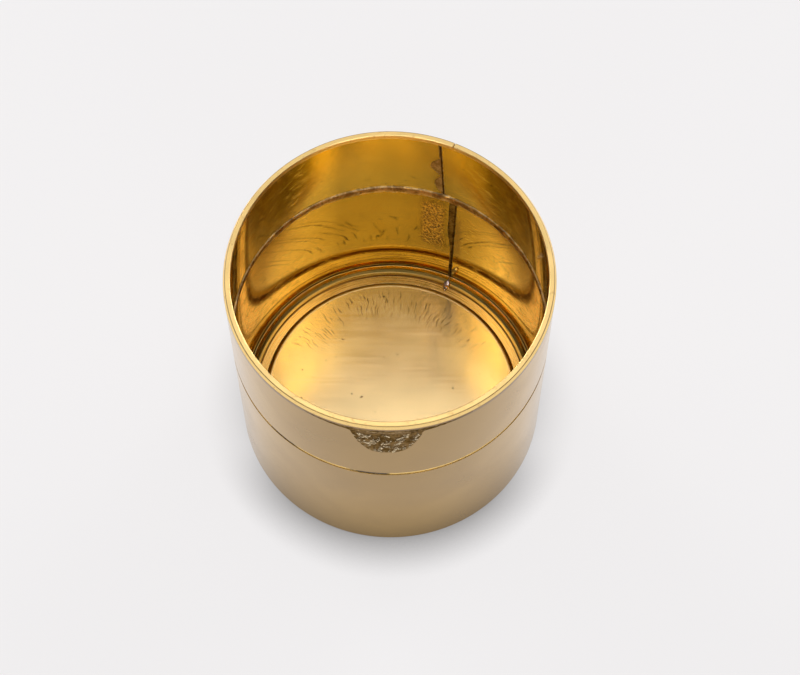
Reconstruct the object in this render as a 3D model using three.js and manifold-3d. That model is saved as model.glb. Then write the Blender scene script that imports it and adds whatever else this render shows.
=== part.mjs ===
// An open brass canister of sheet metal, soldered by hand: two rolled bands one above the other,
// a square ring on the rim, a moulded ring in the corner of the floor, and the solder in each seam.
// Millimetres, +Z up, the origin at the middle of the underside, the half-moon patch towards -Y.

import * as THREE from 'three';
import { mergeVertices } from 'three/addons/utils/BufferGeometryUtils.js';
import Module from 'manifold-3d';

const wasm = await Module();
wasm.setup();

// Driving sizes of the whole canister.
const outerDiameter = 80;
const height = 75;
const wallThickness = 0.5;
const jointHeight = 46;

// The ring on the rim.
const rimWidth = 1.75;
const rimHeight = 1.5;
const rimBevelWidth = 0.5;
const rimBevelHeight = 0.75;
const rimInnerBevel = 0.15;
const rimJointAngle = 66;
const rimJointGap = 0.12;
const rimFilletWidth = 0.5;
const rimFilletHeight = 0.6;

// The groove between the two bands, and the solder in it.
const grooveHeight = 1.2;
const grooveDepth = 0.3;
const beadHalfHeight = 1.35;
const beadThickness = 0.6;
const beadThickAngle = 88;
const beadThinShare = 0.45;
const beadThinning = 3;

// The upright seams: the angle round the wall at the top and at the foot of each.
const upperSeamTopAngle = 71.7;
const upperSeamFootAngle = 69.5;
const lowerSeamTopAngle = 64.4;
const lowerSeamFootAngle = 65.4;
const seamGap = 0.45;
const upperStripWidth = 1.1;
const upperStripThickness = 0.3;
const upperStripFade = 2;
const lowerStripWidth = 1.9;
const lowerStripNarrow = 0.8;
const lowerStripNarrowHeight = 20;
const lowerStripWideHeight = 30;
const lowerStripThickness = 0.3;
const lowerStripFade = 3;

// The rounding of a bead of solder: its shoulder, as shares of its half width and thickness.
const shoulderAcross = 0.6;
const shoulderProud = 0.78;

// The half-moon patch under the rim at the front.
const patchAngle = 269.5;
const patchTopWidth = 22;
const patchBodyWidth = 14.4;
const patchDrop = 13.5;
const patchFlareDrop = 7;
const patchDepth = 0.25;

// How the half-moon's outline bends, as shares of its half widths and drops.
const patchFlareIn = 0.2;
const patchFlareUp = 0.65;
const patchBellyDrop = 0.6;
const patchBellyWidth = 0.92;
const patchChinWidth = 0.58;

// The floor and the moulded ring round it.
const plateThickness = 0.5;
const floorRise = 1.4;
const floorBevelWidth = 1.05;
const floorBevelHeight = 0.9;
const footLandThickness = 0.5;
const footLandWidth = 2.3;
const footStepInset = 2.65;
const footStepHeight = 0.6;
const footStepWidth = 0.8;
const footHollowHeight = 1.1;
const footHollowBow = 1.5;
const footLipWidth = 0.2;
const footLean = 0.35;
const footJointAngle = 65.4;
const footJointGap = 0.15;
const dabWidth = 1.5;
const dabThickness = 0.45;
const dabEdgeShare = 0.2;
const dabInwardShare = 0.5;

// Clearances: the thin gap that solder runs into, and the play of the patch in its recess.
const solderGap = 0.05;
const flankGap = 0.1;
const patchPlay = 0.08;

// Facets round the canister, and along a rounded edge.
const roundSteps = 96;
const hollowSteps = 5;
const seamSteps = 14;

const roundStep = (2 * Math.PI) / roundSteps;
const outerRadius = outerDiameter / 2;
const innerRadius = outerRadius - wallThickness;
const upperBandFoot = jointHeight + grooveHeight / 2;
const lowerBandTop = jointHeight - grooveHeight / 2;
const upperBandTop = height - rimHeight;
const flankRadius = innerRadius - flankGap;
const plateRadius = innerRadius - solderGap;

// The finishes of the metal.
const polished = { color: 0xd9b46a, roughness: 0.15 };
const filed = { color: 0xdcb56e, roughness: 0.3 };
const brushed = { color: 0xcaa052, roughness: 0.3 };
const crackled = { color: 0x8a7048, roughness: 0.6 };
const soldered = { color: 0xa08a66, roughness: 0.5 };
const brightSolder = { color: 0xb5aea6, roughness: 0.35 };

function degrees(angle) {
  return THREE.MathUtils.degToRad(angle);
}

function atRadius(radius, angle, z) {
  return new THREE.Vector3(radius * Math.cos(angle), radius * Math.sin(angle), z);
}

// The angles of a turned piece: every whole step of the circle between two angles.
function stepsBetween(start, end) {
  const angles = [];
  for (let i = Math.ceil(start / roundStep); i * roundStep < end; i += 1) {
    angles.push(i * roundStep);
  }
  return angles;
}

// A closed skin over a row of sections that all have the same number of points.
// Where the row comes back to its start it needs no ends; otherwise each end is closed.
function skin(sections, comesBack = false) {
  const count = sections[0].length;
  const positions = sections.flat().flatMap((p) => [p.x, p.y, p.z]);
  const index = [];
  const rows = comesBack ? sections.length : sections.length - 1;
  for (let i = 0; i < rows; i += 1) {
    const here = i * count;
    const next = ((i + 1) % sections.length) * count;
    for (let k = 0; k < count; k += 1) {
      const l = (k + 1) % count;
      index.push(here + k, here + l, next + l, here + k, next + l, next + k);
    }
  }
  if (!comesBack) {
    for (const [section, offset, turned] of [
      [sections[0], 0, true],
      [sections.at(-1), (sections.length - 1) * count, false],
    ]) {
      for (const face of closeEnd(section)) {
        const [a, b, c] = face.map((k) => k + offset);
        index.push(...(turned ? [a, c, b] : [a, b, c]));
      }
    }
  }
  const geometry = new THREE.BufferGeometry();
  geometry.setAttribute('position', new THREE.Float32BufferAttribute(positions, 3));
  geometry.setIndex(index);
  return facingOut(geometry);
}

// The triangles that close one end of a skin, worked out in the plane of its section.
function closeEnd(section) {
  const origin = section[0];
  const along = section[1].clone().sub(origin).normalize();
  const normal = new THREE.Vector3();
  for (let k = 0; k < section.length; k += 1) {
    normal.add(section[k].clone().cross(section[(k + 1) % section.length]));
  }
  const across = normal.normalize().clone().cross(along);
  const flat = section.map((p) => {
    const d = p.clone().sub(origin);
    return new THREE.Vector2(d.dot(along), d.dot(across));
  });
  return THREE.ShapeUtils.triangulateShape(flat, []);
}

function facingOut(geometry) {
  const position = geometry.getAttribute('position');
  const index = geometry.index.array;
  const [a, b, c] = [new THREE.Vector3(), new THREE.Vector3(), new THREE.Vector3()];
  let volume = 0;
  for (let i = 0; i < index.length; i += 3) {
    a.fromBufferAttribute(position, index[i]);
    b.fromBufferAttribute(position, index[i + 1]);
    c.fromBufferAttribute(position, index[i + 2]);
    volume += a.dot(b.cross(c));
  }
  if (volume < 0) {
    for (let i = 0; i < index.length; i += 3) {
      [index[i + 1], index[i + 2]] = [index[i + 2], index[i + 1]];
    }
  }
  return geometry;
}

// A full ring: an outline of [radius, z] points that closes on itself, turned about Z.
function turnedRing(outline) {
  const points = [...outline, outline[0]].map(([r, z]) => new THREE.Vector2(r, z));
  return new THREE.LatheGeometry(points, roundSteps).rotateX(Math.PI / 2);
}

// A strip bent round the canister until its ends nearly meet. The seam angle may lean with z.
function bentStrip(outline, seamAngle, gap) {
  const startAt = ([r, z]) => degrees(seamAngle(z)) + gap / 2 / r;
  const endAt = ([r, z]) => degrees(seamAngle(z)) - gap / 2 / r + 2 * Math.PI;
  const from = Math.max(...outline.map(startAt)) + roundStep / 4;
  const to = Math.min(...outline.map(endAt)) - roundStep / 4;
  const bend = (angleOf) => outline.map((point) => atRadius(point[0], angleOf(point), point[1]));
  const between = stepsBetween(from, to).map((angle) => bend(() => angle));
  return skin([bend(startAt), ...between, bend(endAt)]);
}

function toSolid(geometry) {
  const bare = geometry.clone();
  bare.deleteAttribute('normal');
  bare.deleteAttribute('uv');
  const merged = mergeVertices(bare, 1e-4);
  return new wasm.Manifold(new wasm.Mesh({
    numProp: 3,
    vertProperties: new Float32Array(merged.getAttribute('position').array),
    triVerts: new Uint32Array(merged.index.array),
  }));
}

function toGeometry(solid) {
  const mesh = solid.getMesh();
  const geometry = new THREE.BufferGeometry();
  geometry.setAttribute('position', new THREE.BufferAttribute(mesh.vertProperties, 3));
  geometry.setIndex(new THREE.BufferAttribute(mesh.triVerts, 1));
  return geometry;
}

// The half-moon, drawn flat: flared corners under the rim, then a round belly.
// The outline is drawn in by the play, and extruded outwards through the front of the wall.
function halfMoonBlock(play) {
  const top = upperBandTop - play;
  const waist = top - patchFlareDrop;
  const foot = upperBandTop - patchDrop + play;
  const halfTop = patchTopWidth / 2 - play;
  const halfBody = patchBodyWidth / 2 - play;
  const flareX = THREE.MathUtils.lerp(halfBody, halfTop, patchFlareIn);
  const flareZ = THREE.MathUtils.lerp(waist, top, patchFlareUp);
  const bellyX = halfBody * patchBellyWidth;
  const bellyZ = THREE.MathUtils.lerp(waist, foot, patchBellyDrop);
  const chinX = halfBody * patchChinWidth;
  const shape = new THREE.Shape();
  shape.moveTo(-halfTop, top);
  shape.quadraticCurveTo(-flareX, flareZ, -halfBody, waist);
  shape.bezierCurveTo(-bellyX, bellyZ, -chinX, foot, 0, foot);
  shape.bezierCurveTo(chinX, foot, bellyX, bellyZ, halfBody, waist);
  shape.quadraticCurveTo(flareX, flareZ, halfTop, top);
  const block = new THREE.ExtrudeGeometry(shape, {
    depth: outerRadius, bevelEnabled: false, curveSegments: 8,
  });
  block.rotateX(Math.PI / 2);
  block.translate(0, -outerRadius / 2, 0);
  block.rotateZ(degrees(patchAngle - 270));
  return toSolid(block);
}

// The part of the wall between two radii, over the height of the upper band.
function wallShell(fromRadius, toRadius) {
  return toSolid(turnedRing([
    [fromRadius, upperBandFoot],
    [toRadius, upperBandFoot],
    [toRadius, upperBandTop],
    [fromRadius, upperBandTop],
  ]));
}

function rimRing() {
  const inner = outerRadius - rimWidth;
  const outline = [
    [inner, upperBandTop],
    [outerRadius, upperBandTop],
    [outerRadius, height - rimBevelHeight],
    [outerRadius - rimBevelWidth, height],
    [inner + rimInnerBevel, height],
    [inner, height - rimInnerBevel],
  ];
  return bentStrip(outline, () => rimJointAngle, rimJointGap);
}

function rimSolder() {
  const top = upperBandTop - solderGap;
  return turnedRing([
    [flankRadius, top],
    [flankRadius - rimFilletWidth, top],
    [flankRadius, top - rimFilletHeight],
  ]);
}

function upperSeamAngle(z) {
  const share = (z - upperBandFoot) / (upperBandTop - upperBandFoot);
  return THREE.MathUtils.lerp(upperSeamFootAngle, upperSeamTopAngle, share);
}

function lowerSeamAngle(z) {
  return THREE.MathUtils.lerp(lowerSeamFootAngle, lowerSeamTopAngle, z / lowerBandTop);
}

function upperBand() {
  const band = toSolid(bentStrip([
    [innerRadius, upperBandFoot],
    [outerRadius, upperBandFoot],
    [outerRadius, upperBandTop],
    [innerRadius, upperBandTop],
  ], upperSeamAngle, seamGap));
  const beyond = outerRadius + wallThickness;
  const recess = halfMoonBlock(0).intersect(wallShell(outerRadius - patchDepth, beyond));
  return toGeometry(band.subtract(recess));
}

function halfMoonPatch() {
  const shell = wallShell(outerRadius - patchDepth + solderGap, outerRadius);
  return toGeometry(halfMoonBlock(patchPlay).intersect(shell));
}

function lowerBand() {
  return bentStrip([
    [innerRadius, 0],
    [outerRadius, 0],
    [outerRadius, lowerBandTop],
    [innerRadius, lowerBandTop],
  ], lowerSeamAngle, seamGap);
}

// The solder in an upright seam: a web through the wall, and inside it a strip that stands
// proud of the wall by thickness(z) and is width(z) wide.
function seamSolder(seamAngle, fromZ, toZ, width, thickness) {
  const web = seamGap / 2 - solderGap;
  const faceRadius = innerRadius - solderGap;
  const sections = [];
  for (let i = 0; i <= seamSteps; i += 1) {
    const z = THREE.MathUtils.lerp(fromZ, toZ, i / seamSteps);
    const middle = degrees(seamAngle(z));
    const half = width(z) / 2;
    const shoulder = half * shoulderAcross;
    const proud = thickness(z);
    const around = (across, r) => atRadius(r, middle + across / r, z);
    sections.push([
      around(web, outerRadius - solderGap),
      around(-web, outerRadius - solderGap),
      around(-web, faceRadius),
      around(-half, faceRadius),
      around(-shoulder, faceRadius - proud * shoulderProud),
      around(0, faceRadius - proud),
      around(shoulder, faceRadius - proud * shoulderProud),
      around(half, faceRadius),
      around(web, faceRadius),
    ]);
  }
  return skin(sections);
}

// A strip keeps clear of the fillet, bead or ring at its ends: there only a trace of it is left.
function taperedStrip(from, to, full, trace, fade) {
  return (z) => {
    const nearEnd = Math.min(z - from, to - z);
    const share = THREE.MathUtils.clamp(nearEnd / fade, 0, 1);
    return THREE.MathUtils.lerp(trace, full(z), share);
  };
}

const traceWidth = seamGap + flankGap;
const traceThickness = (flankGap - solderGap) / 2;

function upperSeamSolder() {
  const from = upperBandFoot + solderGap;
  const to = upperBandTop - solderGap;
  const clearFoot = jointHeight + beadHalfHeight + flankGap;
  const clearTop = to - rimFilletHeight - flankGap;
  const strip = (full, trace) => taperedStrip(clearFoot, clearTop, full, trace, upperStripFade);
  const width = strip(() => upperStripWidth, traceWidth);
  const thickness = strip(() => upperStripThickness, traceThickness);
  return seamSolder(upperSeamAngle, from, to, width, thickness);
}

function lowerSeamSolder() {
  const clearFoot = footTop + flankGap;
  const clearTop = jointHeight - beadHalfHeight - flankGap;
  const widening = (z) => {
    const share = THREE.MathUtils.smoothstep(z, lowerStripNarrowHeight, lowerStripWideHeight);
    return THREE.MathUtils.lerp(lowerStripNarrow, lowerStripWidth, share);
  };
  const strip = (full, trace) => taperedStrip(clearFoot, clearTop, full, trace, lowerStripFade);
  const width = strip(widening, traceWidth);
  const thickness = strip(() => lowerStripThickness, traceThickness);
  return seamSolder(lowerSeamAngle, 0, lowerBandTop - solderGap, width, thickness);
}

// The solder between the bands. Inside, its bead is thickest at the back and thin at the sides.
function jointSolder() {
  const webTop = upperBandFoot - solderGap;
  const webFoot = lowerBandTop + solderGap;
  const sections = [];
  for (let i = 0; i < roundSteps; i += 1) {
    const angle = i * roundStep;
    const nearness = (1 + Math.cos(angle - degrees(beadThickAngle))) / 2;
    const share = THREE.MathUtils.lerp(beadThinShare, 1, nearness ** beadThinning);
    const half = Math.max(beadHalfHeight * share, grooveHeight / 2 + solderGap);
    const shoulder = half * shoulderAcross;
    const proud = beadThickness * share;
    sections.push([
      atRadius(outerRadius - grooveDepth, angle, webFoot),
      atRadius(outerRadius - grooveDepth, angle, webTop),
      atRadius(flankRadius, angle, webTop),
      atRadius(flankRadius, angle, jointHeight + half),
      atRadius(flankRadius - proud * shoulderProud, angle, jointHeight + shoulder),
      atRadius(flankRadius - proud, angle, jointHeight),
      atRadius(flankRadius - proud * shoulderProud, angle, jointHeight - shoulder),
      atRadius(flankRadius, angle, jointHeight - half),
      atRadius(flankRadius, angle, webFoot),
    ]);
  }
  return skin(sections, true);
}

// The floor plate: a flat rim under the moulded ring and a raised middle with a bevelled edge.
const floorTop = plateThickness + floorRise;
const footStepRadius = innerRadius - footStepInset;
const bevelFootRadius = footStepRadius - footLandWidth;

function floorPlate() {
  const underRadius = bevelFootRadius - plateThickness;
  const profile = [
    [0, floorTop - plateThickness],
    [underRadius - floorBevelWidth, floorTop - plateThickness],
    [underRadius, floorTop - plateThickness - floorBevelHeight],
    [underRadius, 0],
    [plateRadius, 0],
    [plateRadius, plateThickness],
    [bevelFootRadius, plateThickness],
    [bevelFootRadius, floorTop - floorBevelHeight],
    [bevelFootRadius - floorBevelWidth, floorTop],
    [0, floorTop],
  ].map(([r, z]) => new THREE.Vector2(r, z));
  return new THREE.LatheGeometry(profile, roundSteps).rotateX(Math.PI / 2);
}

// The moulded ring: land, step, and a hollow that climbs to a thin lip. Its back leans a little
// away from the wall, so that a dark line is left behind the lip.
const footLandTop = plateThickness + footLandThickness;
const footTop = footLandTop + footStepHeight + footHollowHeight;
const footOuterRadius = innerRadius - flankGap;

function footOutline() {
  const hollowFoot = footStepRadius + footStepWidth;
  const lipRadius = footOuterRadius - footLean;
  const hollowTop = lipRadius - footLipWidth;
  const stepTop = footLandTop + footStepHeight;
  const outline = [
    [footOuterRadius, plateThickness],
    [lipRadius, footTop],
    [hollowTop, footTop],
  ];
  for (let i = 1; i <= hollowSteps; i += 1) {
    const turn = (i / hollowSteps) * (Math.PI / 2);
    const r = hollowTop - (hollowTop - hollowFoot) * Math.sin(turn);
    const z = stepTop + (footTop - stepTop) * (1 - Math.sin(turn)) ** footHollowBow;
    outline.push([r, z]);
  }
  outline.push(
    [footStepRadius, stepTop],
    [footStepRadius, footLandTop],
    [bevelFootRadius + flankGap, footLandTop],
    [bevelFootRadius + flankGap, plateThickness],
  );
  return outline;
}

function footRing() {
  return bentStrip(footOutline(), () => footJointAngle, footJointGap);
}

// The dab of solder over the ring's butt joint: it follows the ring's top from lip to land.
function footRingSolder() {
  const top = footOutline().slice(2, -1);
  const middle = degrees(footJointAngle);
  const lifted = ([r, z], across, lift) => (
    atRadius(r - lift * dabInwardShare, middle + across / r, z + lift)
  );
  const sections = [-1, -shoulderAcross, 0, shoulderAcross, 1].map((share) => {
    const across = (share * dabWidth) / 2;
    const proud = dabThickness * THREE.MathUtils.lerp(1, dabEdgeShare, share * share);
    const under = top.map((point) => lifted(point, across, solderGap));
    const over = top.map((point) => lifted(point, across, solderGap + proud));
    return [...under, ...over.reverse()];
  });
  return skin(sections);
}

function piece(name, geometry, finish) {
  const material = new THREE.MeshStandardMaterial({ ...finish, metalness: 1 });
  const mesh = new THREE.Mesh(geometry, material);
  mesh.name = name;
  return mesh;
}

const canister = new THREE.Group();
canister.add(
  piece('rim_ring', rimRing(), filed),
  piece('rim_solder', rimSolder(), soldered),
  piece('upper_band', upperBand(), polished),
  piece('upper_seam_solder', upperSeamSolder(), soldered),
  piece('half_moon_patch', halfMoonPatch(), crackled),
  piece('joint_solder', jointSolder(), soldered),
  piece('lower_band', lowerBand(), polished),
  piece('lower_seam_solder', lowerSeamSolder(), soldered),
  piece('foot_ring', footRing(), brushed),
  piece('foot_ring_solder', footRingSolder(), brightSolder),
  piece('floor_plate', floorPlate(), brushed),
);

export default canister;
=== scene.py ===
"""An open brass canister of soldered sheet metal, seen from above on a pale table."""

import math

import bpy
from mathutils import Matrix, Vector


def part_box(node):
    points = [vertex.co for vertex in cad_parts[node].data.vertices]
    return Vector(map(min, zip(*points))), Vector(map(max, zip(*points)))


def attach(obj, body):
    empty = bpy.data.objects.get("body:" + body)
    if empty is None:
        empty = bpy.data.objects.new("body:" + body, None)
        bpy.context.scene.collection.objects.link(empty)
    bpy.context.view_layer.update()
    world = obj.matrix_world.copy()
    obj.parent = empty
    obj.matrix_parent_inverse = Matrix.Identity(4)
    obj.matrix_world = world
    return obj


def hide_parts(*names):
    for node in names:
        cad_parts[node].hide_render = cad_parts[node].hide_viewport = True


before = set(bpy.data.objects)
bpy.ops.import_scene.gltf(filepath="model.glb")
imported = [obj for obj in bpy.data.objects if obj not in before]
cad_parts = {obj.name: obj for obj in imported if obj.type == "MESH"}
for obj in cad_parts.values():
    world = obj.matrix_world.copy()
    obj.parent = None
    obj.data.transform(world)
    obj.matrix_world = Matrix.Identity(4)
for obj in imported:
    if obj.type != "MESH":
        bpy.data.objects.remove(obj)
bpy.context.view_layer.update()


# The floor: a plate of sheet brass, pressed so that its middle stands up inside the foot ring
# with a bevelled edge. It was rubbed with fine abrasive in straight strokes from side to side,
# and turned round against something hard, which left a crescent of short scratches at the back.


def box_of(cad_node):
    """The lowest and highest corner of a solid, to the micrometre."""
    return [[round(length, 6) for length in corner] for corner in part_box(cad_node)]


def node(tree, kind, inputs=None, **settings):
    """Adds a node, and fills its inputs with values or with the sockets that feed them."""
    added = tree.nodes.new(kind)
    for name, value in settings.items():
        setattr(added, name, value)
    for key, value in (inputs or {}).items():
        if isinstance(value, bpy.types.NodeSocket):
            tree.links.new(value, added.inputs[key])
        else:
            added.inputs[key].default_value = value
    return added


def maths(tree, operation, *values):
    """The result of one sum on numbers or sockets."""
    return node(tree, "ShaderNodeMath", dict(enumerate(values)), operation=operation).outputs[0]


def product(tree, value, *others):
    """All the values multiplied together."""
    for other in others:
        value = maths(tree, "MULTIPLY", value, other)
    return value


def apart(tree, value, middle):
    """How far a value lies from a middle, on either side."""
    return maths(tree, "ABSOLUTE", maths(tree, "SUBTRACT", value, middle))


def between(tree, value, low, high, out_low=0.0, out_high=1.0, smooth=False):
    """Maps a value from one range to another, and holds it at the ends."""
    added = node(tree, "ShaderNodeMapRange", {
        "Value": value, "From Min": low, "From Max": high, "To Min": out_low, "To Max": out_high,
    }, interpolation_type="SMOOTHSTEP" if smooth else "LINEAR")
    return added.outputs["Result"]


def near(tree, value, middle, core, edge, smooth=True):
    """1 up to the core distance from a middle, and 0 from the edge distance on."""
    return between(tree, apart(tree, value, middle), core, edge, 1, 0, smooth)


def split(tree, place):
    """The three lengths of a place."""
    return node(tree, "ShaderNodeSeparateXYZ", {0: place}).outputs


def joined(tree, x, y, z=0.0):
    """A place from its three lengths."""
    return node(tree, "ShaderNodeCombineXYZ", {0: x, 1: y, 2: z}).outputs[0]


def round_axis(tree, x, y):
    """The angle of a place round the canister's axis, and its distance from the axis."""
    squares = maths(tree, "ADD", maths(tree, "POWER", x, 2.0), maths(tree, "POWER", y, 2.0))
    return maths(tree, "ARCTAN2", y, x), maths(tree, "SQRT", squares)


def over(tree, value, limit):
    """Whether a value is over a limit."""
    return node(tree, "FunctionNodeCompare", {0: value, 1: limit}).outputs[0]


def new_tree(name, sockets):
    """An empty shape tree with the canister's usual geometry sockets and the named inputs."""
    tree = bpy.data.node_groups.new(name, "GeometryNodeTree")
    tree.interface.new_socket("Geometry", in_out="OUTPUT", socket_type="NodeSocketGeometry")
    tree.interface.new_socket("Geometry", in_out="INPUT", socket_type="NodeSocketGeometry")
    for socket, kind in sockets.items():
        tree.interface.new_socket(socket, in_out="INPUT", socket_type="NodeSocket" + kind)
    given = tree.nodes.new("NodeGroupInput").outputs
    return tree, given


def position(tree):
    """The three lengths of the point that a shape tree is working on."""
    return split(tree, tree.nodes.new("GeometryNodeInputPosition").outputs[0])


def swept(tree, given, ends):
    """The outline swept one metre along X in even steps."""
    line = node(tree, "GeometryNodeCurvePrimitiveLine", {"End": (1, 0, 0)})
    count = maths(tree, "ADD", given["Steps"], 1.0)
    path = node(tree, "GeometryNodeResampleCurve", {"Curve": line.outputs[0], "Count": count})
    outline = node(tree, "GeometryNodeMeshToCurve", {"Mesh": given["Geometry"]})
    return node(tree, "GeometryNodeCurveToMesh", {
        "Curve": path.outputs[0], "Profile Curve": outline.outputs[0], "Fill Caps": ends,
    }).outputs[0]


def leaning_seam(tree, given, up):
    """The angle of a band's seam at a height."""
    return between(tree, up, given["Foot"], given["Top"],
                   given["Seam at foot"], given["Seam at top"])


def placed_round(tree, geometry, angle, radius, up):
    """Moves each point to an angle, a radius and a height round the axis."""
    spot = joined(tree, product(tree, radius, maths(tree, "COSINE", angle)),
                  product(tree, radius, maths(tree, "SINE", angle)), up)
    return node(tree, "GeometryNodeSetPosition", {
        "Geometry": geometry, "Position": spot,
    }).outputs[0]


def finish_tree(tree, given, geometry):
    """Closes the sweep, keeps its hard edges, and gives each side of the wall its finish."""
    closed = node(tree, "GeometryNodeMergeByDistance", {"Geometry": geometry, "Distance": 1e-7})
    outward = node(tree, "GeometryNodeFlipFaces", {"Mesh": closed.outputs[0]})
    angle = tree.nodes.new("GeometryNodeInputMeshEdgeAngle").outputs["Unsigned Angle"]
    smooth = node(tree, "GeometryNodeSetShadeSmooth", {"Geometry": outward.outputs[0]})
    sharp = node(tree, "GeometryNodeSetShadeSmooth", {
        "Geometry": smooth.outputs[0], "Selection": over(tree, angle, math.radians(40)),
        "Shade Smooth": False,
    }, domain="EDGE")
    x, y, _ = position(tree)
    _, radius = round_axis(tree, x, y)
    real = node(tree, "GeometryNodeRealizeInstances", {"Geometry": sharp.outputs[0]})
    coat = node(tree, "GeometryNodeSetMaterial", {
        "Geometry": real.outputs[0], "Material": given["Outside finish"],
    })
    lining = node(tree, "GeometryNodeSetMaterial", {
        "Geometry": coat.outputs[0], "Selection": over(tree, given["Inside radius"], radius),
        "Material": given["Inside finish"],
    })
    node(tree, "NodeGroupOutput", {0: lining.outputs[0]})


def bending_tree():
    """Sweeps an outline along X, then bends it round Z from one side of a seam to the other."""
    tree, given = new_tree("bend round", {
        "Steps": "Int", "Gap": "Float", "Foot": "Float", "Top": "Float",
        "Seam at foot": "Float", "Seam at top": "Float", "Ends": "Bool",
        "Outside finish": "Material", "Inside finish": "Material", "Inside radius": "Float",
    })
    straight = swept(tree, given, given["Ends"])
    along, radius, up = position(tree)
    gap = maths(tree, "DIVIDE", given["Gap"], maths(tree, "MAXIMUM", radius, 0.001))
    turn = product(tree, along, maths(tree, "SUBTRACT", math.tau, gap))
    start = maths(tree, "MULTIPLY_ADD", gap, 0.5, leaning_seam(tree, given, up))
    angle = maths(tree, "ADD", start, turn)
    finish_tree(tree, given, placed_round(tree, straight, angle, radius, up))
    return tree


def rounded(outline, closed=True, steps=5):
    """Rounds the corners of an outline of (radius, height, rounding) points."""
    points = []
    count = len(outline)
    for i, (r, z, rounding) in enumerate(outline):
        here = Vector((r, z))
        if rounding == 0 or (not closed and i in (0, count - 1)):
            points.append(here)
            continue
        back = Vector(outline[i - 1][:2]) - here
        ahead = Vector(outline[(i + 1) % count][:2]) - here
        half = back.angle(ahead) / 2
        reach = min(rounding / math.tan(half), back.length * 0.35, ahead.length * 0.35)
        start = here + back.normalized() * reach
        end = here + ahead.normalized() * reach
        points.append(start + back.normalized() * reach * 0.25)
        for k in range(steps + 1):
            t = k / steps
            points.append(start * (1 - t) ** 2 + here * 2 * t * (1 - t) + end * t ** 2)
        points.append(end + ahead.normalized() * reach * 0.25)
    return points


def flat_line(name, points, closed=False):
    """A line of edges through flat points."""
    mesh = bpy.data.meshes.new(name)
    edges = [(i, i + 1) for i in range(len(points) - 1)]
    if closed:
        edges.append((len(points) - 1, 0))
    mesh.from_pydata([(x, y, 0) for x, y in points], edges, [])
    line = bpy.data.objects.new(name, mesh)
    bpy.context.scene.collection.objects.link(line)
    return line


def profile(name, points, closed=True):
    """An outline for the sweep, with both signs changed, because the sweep turns it half round."""
    return flat_line(name, [(-r, -z) for r, z in points], closed)


def shaped(piece, tree, **inputs):
    """Runs a shape tree on a piece and leaves the result as its plain mesh."""
    modifier = piece.modifiers.new("shape", "NODES")
    modifier.node_group = tree
    wanted = {name.replace("_", " "): value for name, value in inputs.items()}
    for socket in tree.interface.items_tree:
        if socket.in_out == "INPUT" and socket.name in wanted:
            modifier[socket.identifier] = wanted.pop(socket.name)
    if wanted:
        raise ValueError(f"{tree.name} has no input {sorted(wanted)}")
    depsgraph = bpy.context.evaluated_depsgraph_get()
    mesh = bpy.data.meshes.new_from_object(piece.evaluated_get(depsgraph), depsgraph=depsgraph)
    piece.modifiers.remove(modifier)
    # A bare line of edges brings an empty material slot with it.
    if mesh.materials[0] is None:
        mesh.materials.pop(index=0)
    mesh.name = piece.name
    piece.data = mesh
    return piece


def stands_for(piece, cad_node):
    """Ties a finished piece to the solid that it stands for."""
    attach(piece, "root")
    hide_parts(cad_node)


def new_material(name):
    """An empty metal material, its shader, and the place on the canister that it colours."""
    material = bpy.data.materials.new(name)
    material.use_nodes = True
    tree = material.node_tree
    shader = tree.nodes["Principled BSDF"]
    shader.inputs["Metallic"].default_value = 1.0
    place = tree.nodes.new("ShaderNodeTexCoord").outputs["Object"]
    return material, tree, shader, place


def finished(tree, shader, colour, rough, height, distance):
    """Gives the shader its colour, its roughness, and fine relief from a height, in metres."""
    bump = node(tree, "ShaderNodeBump", {"Height": height, "Distance": distance})
    tree.links.new(colour, shader.inputs["Base Color"])
    tree.links.new(rough, shader.inputs["Roughness"])
    tree.links.new(bump.outputs[0], shader.inputs["Normal"])


def noise(tree, place, scale, stretch=(1, 1, 1), detail=3.0, roughness=0.5, distortion=0.0):
    """A cloud of noise, stretched along the axes by the given factors."""
    wide = node(tree, "ShaderNodeVectorMath", {0: place, 1: stretch}, operation="MULTIPLY")
    return node(tree, "ShaderNodeTexNoise", {
        "Vector": wide.outputs[0], "Scale": scale, "Detail": detail, "Roughness": roughness,
        "Distortion": distortion,
    }).outputs["Fac"]


def blend(tree, share, first, second):
    """A mix of two colours by a share from 0 to 1."""
    first, second = ((*end, 1) if isinstance(end, tuple) else end for end in (first, second))
    return node(tree, "ShaderNodeMix", {"Factor": share, 6: first, 7: second},
                data_type="RGBA").outputs[2]


def scratched(tree, place, scale, stretch, share):
    """Hair-thin scratches, from 0 to 1, long along the shorter stretch, in a share of the place."""
    drift_scale, drift_reach = 220.0, 0.003
    hair_core, hair_edge = 0.12, 0.20
    bare = 0.62 - share
    drift = node(tree, "ShaderNodeTexNoise", {"Vector": place, "Scale": drift_scale})
    bent = node(tree, "ShaderNodeVectorMath", {
        0: drift.outputs["Color"], 1: (drift_reach, drift_reach, 0), 2: place,
    }, operation="MULTIPLY_ADD")
    wide = node(tree, "ShaderNodeVectorMath", {0: bent.outputs[0], 1: stretch},
                operation="MULTIPLY")
    cells = node(tree, "ShaderNodeTexVoronoi", {"Vector": wide.outputs[0], "Scale": scale},
                 voronoi_dimensions="2D")
    hair = between(tree, cells.outputs["Distance"], hair_core, hair_edge, 1, 0)
    kept = noise(tree, place, 300, detail=1)
    return product(tree, hair, between(tree, kept, bare, bare + 0.02))


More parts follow.
